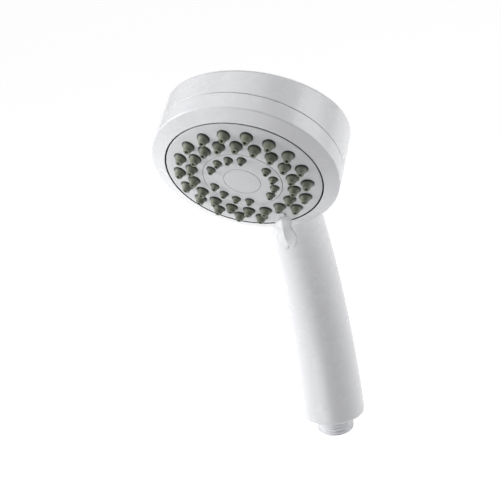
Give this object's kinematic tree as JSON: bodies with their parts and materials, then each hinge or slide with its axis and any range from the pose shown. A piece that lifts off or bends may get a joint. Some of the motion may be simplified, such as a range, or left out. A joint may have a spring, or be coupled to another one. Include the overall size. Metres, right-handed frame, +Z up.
{
  "type": "handheld shower head",
  "caption": "White handheld shower head with a turning spray face, rubber nozzles, a mode lever and a male hose thread at the end of its curved handle.",
  "frame": {"origin": "centre of the hose thread's end face", "axes": "+Z up along the handle's lower end, -Y the side that the spray leaves from, +X to the right of the handle seen from the front"},
  "size_m": [0.095, 0.128, 0.2372],
  "materials": {
    "white_shell": "gloss moulded white",
    "satin_face": "satin moulded pale grey white",
    "inner_plastic": "plain moulded",
    "nozzle_rubber": "matte grey green silicone",
    "seal_rubber": "matte black",
    "steel": "bright stainless"
  },
  "bodies": {
    "handset": {"handle_housing": "white_shell", "bezel_ring": "white_shell", "hose_spigot": "white_shell", "inlet_strainer": "steel", "flow_regulator": "inner_plastic", "water_tube": "inner_plastic", "tube_lower_seal": "seal_rubber", "tube_upper_seal": "seal_rubber", "valve_body": "inner_plastic", "port_seal": "seal_rubber", "port_spring": "steel", "click_spring": "steel", "valve_screw_1": "steel", "valve_screw_2": "steel", "valve_screw_3": "steel", "pivot_screw": "steel", "pivot_washer": "steel"},
    "spray_face": {"spray_plate": "satin_face", "inner_rose": "satin_face", "centre_cap": "satin_face", "mode_lever": "white_shell", "outer_nozzle_mat": "nozzle_rubber", "inner_nozzle_mat": "nozzle_rubber", "distributor_plate": "inner_plastic", "hub_seal": "seal_rubber", "rotor_screw_1": "steel", "rotor_screw_2": "steel", "rotor_screw_3": "steel"}
  },
  "joints": [
    {"name": "spray_turn", "type": "hinge", "parent": "handset", "child": "spray_face", "pos_m": [0, -0.08685, 0.18346], "axis": [0, -0.8329, -0.5534], "range_deg": [-39, 0], "deforming": ["click_spring"]}
  ]
}
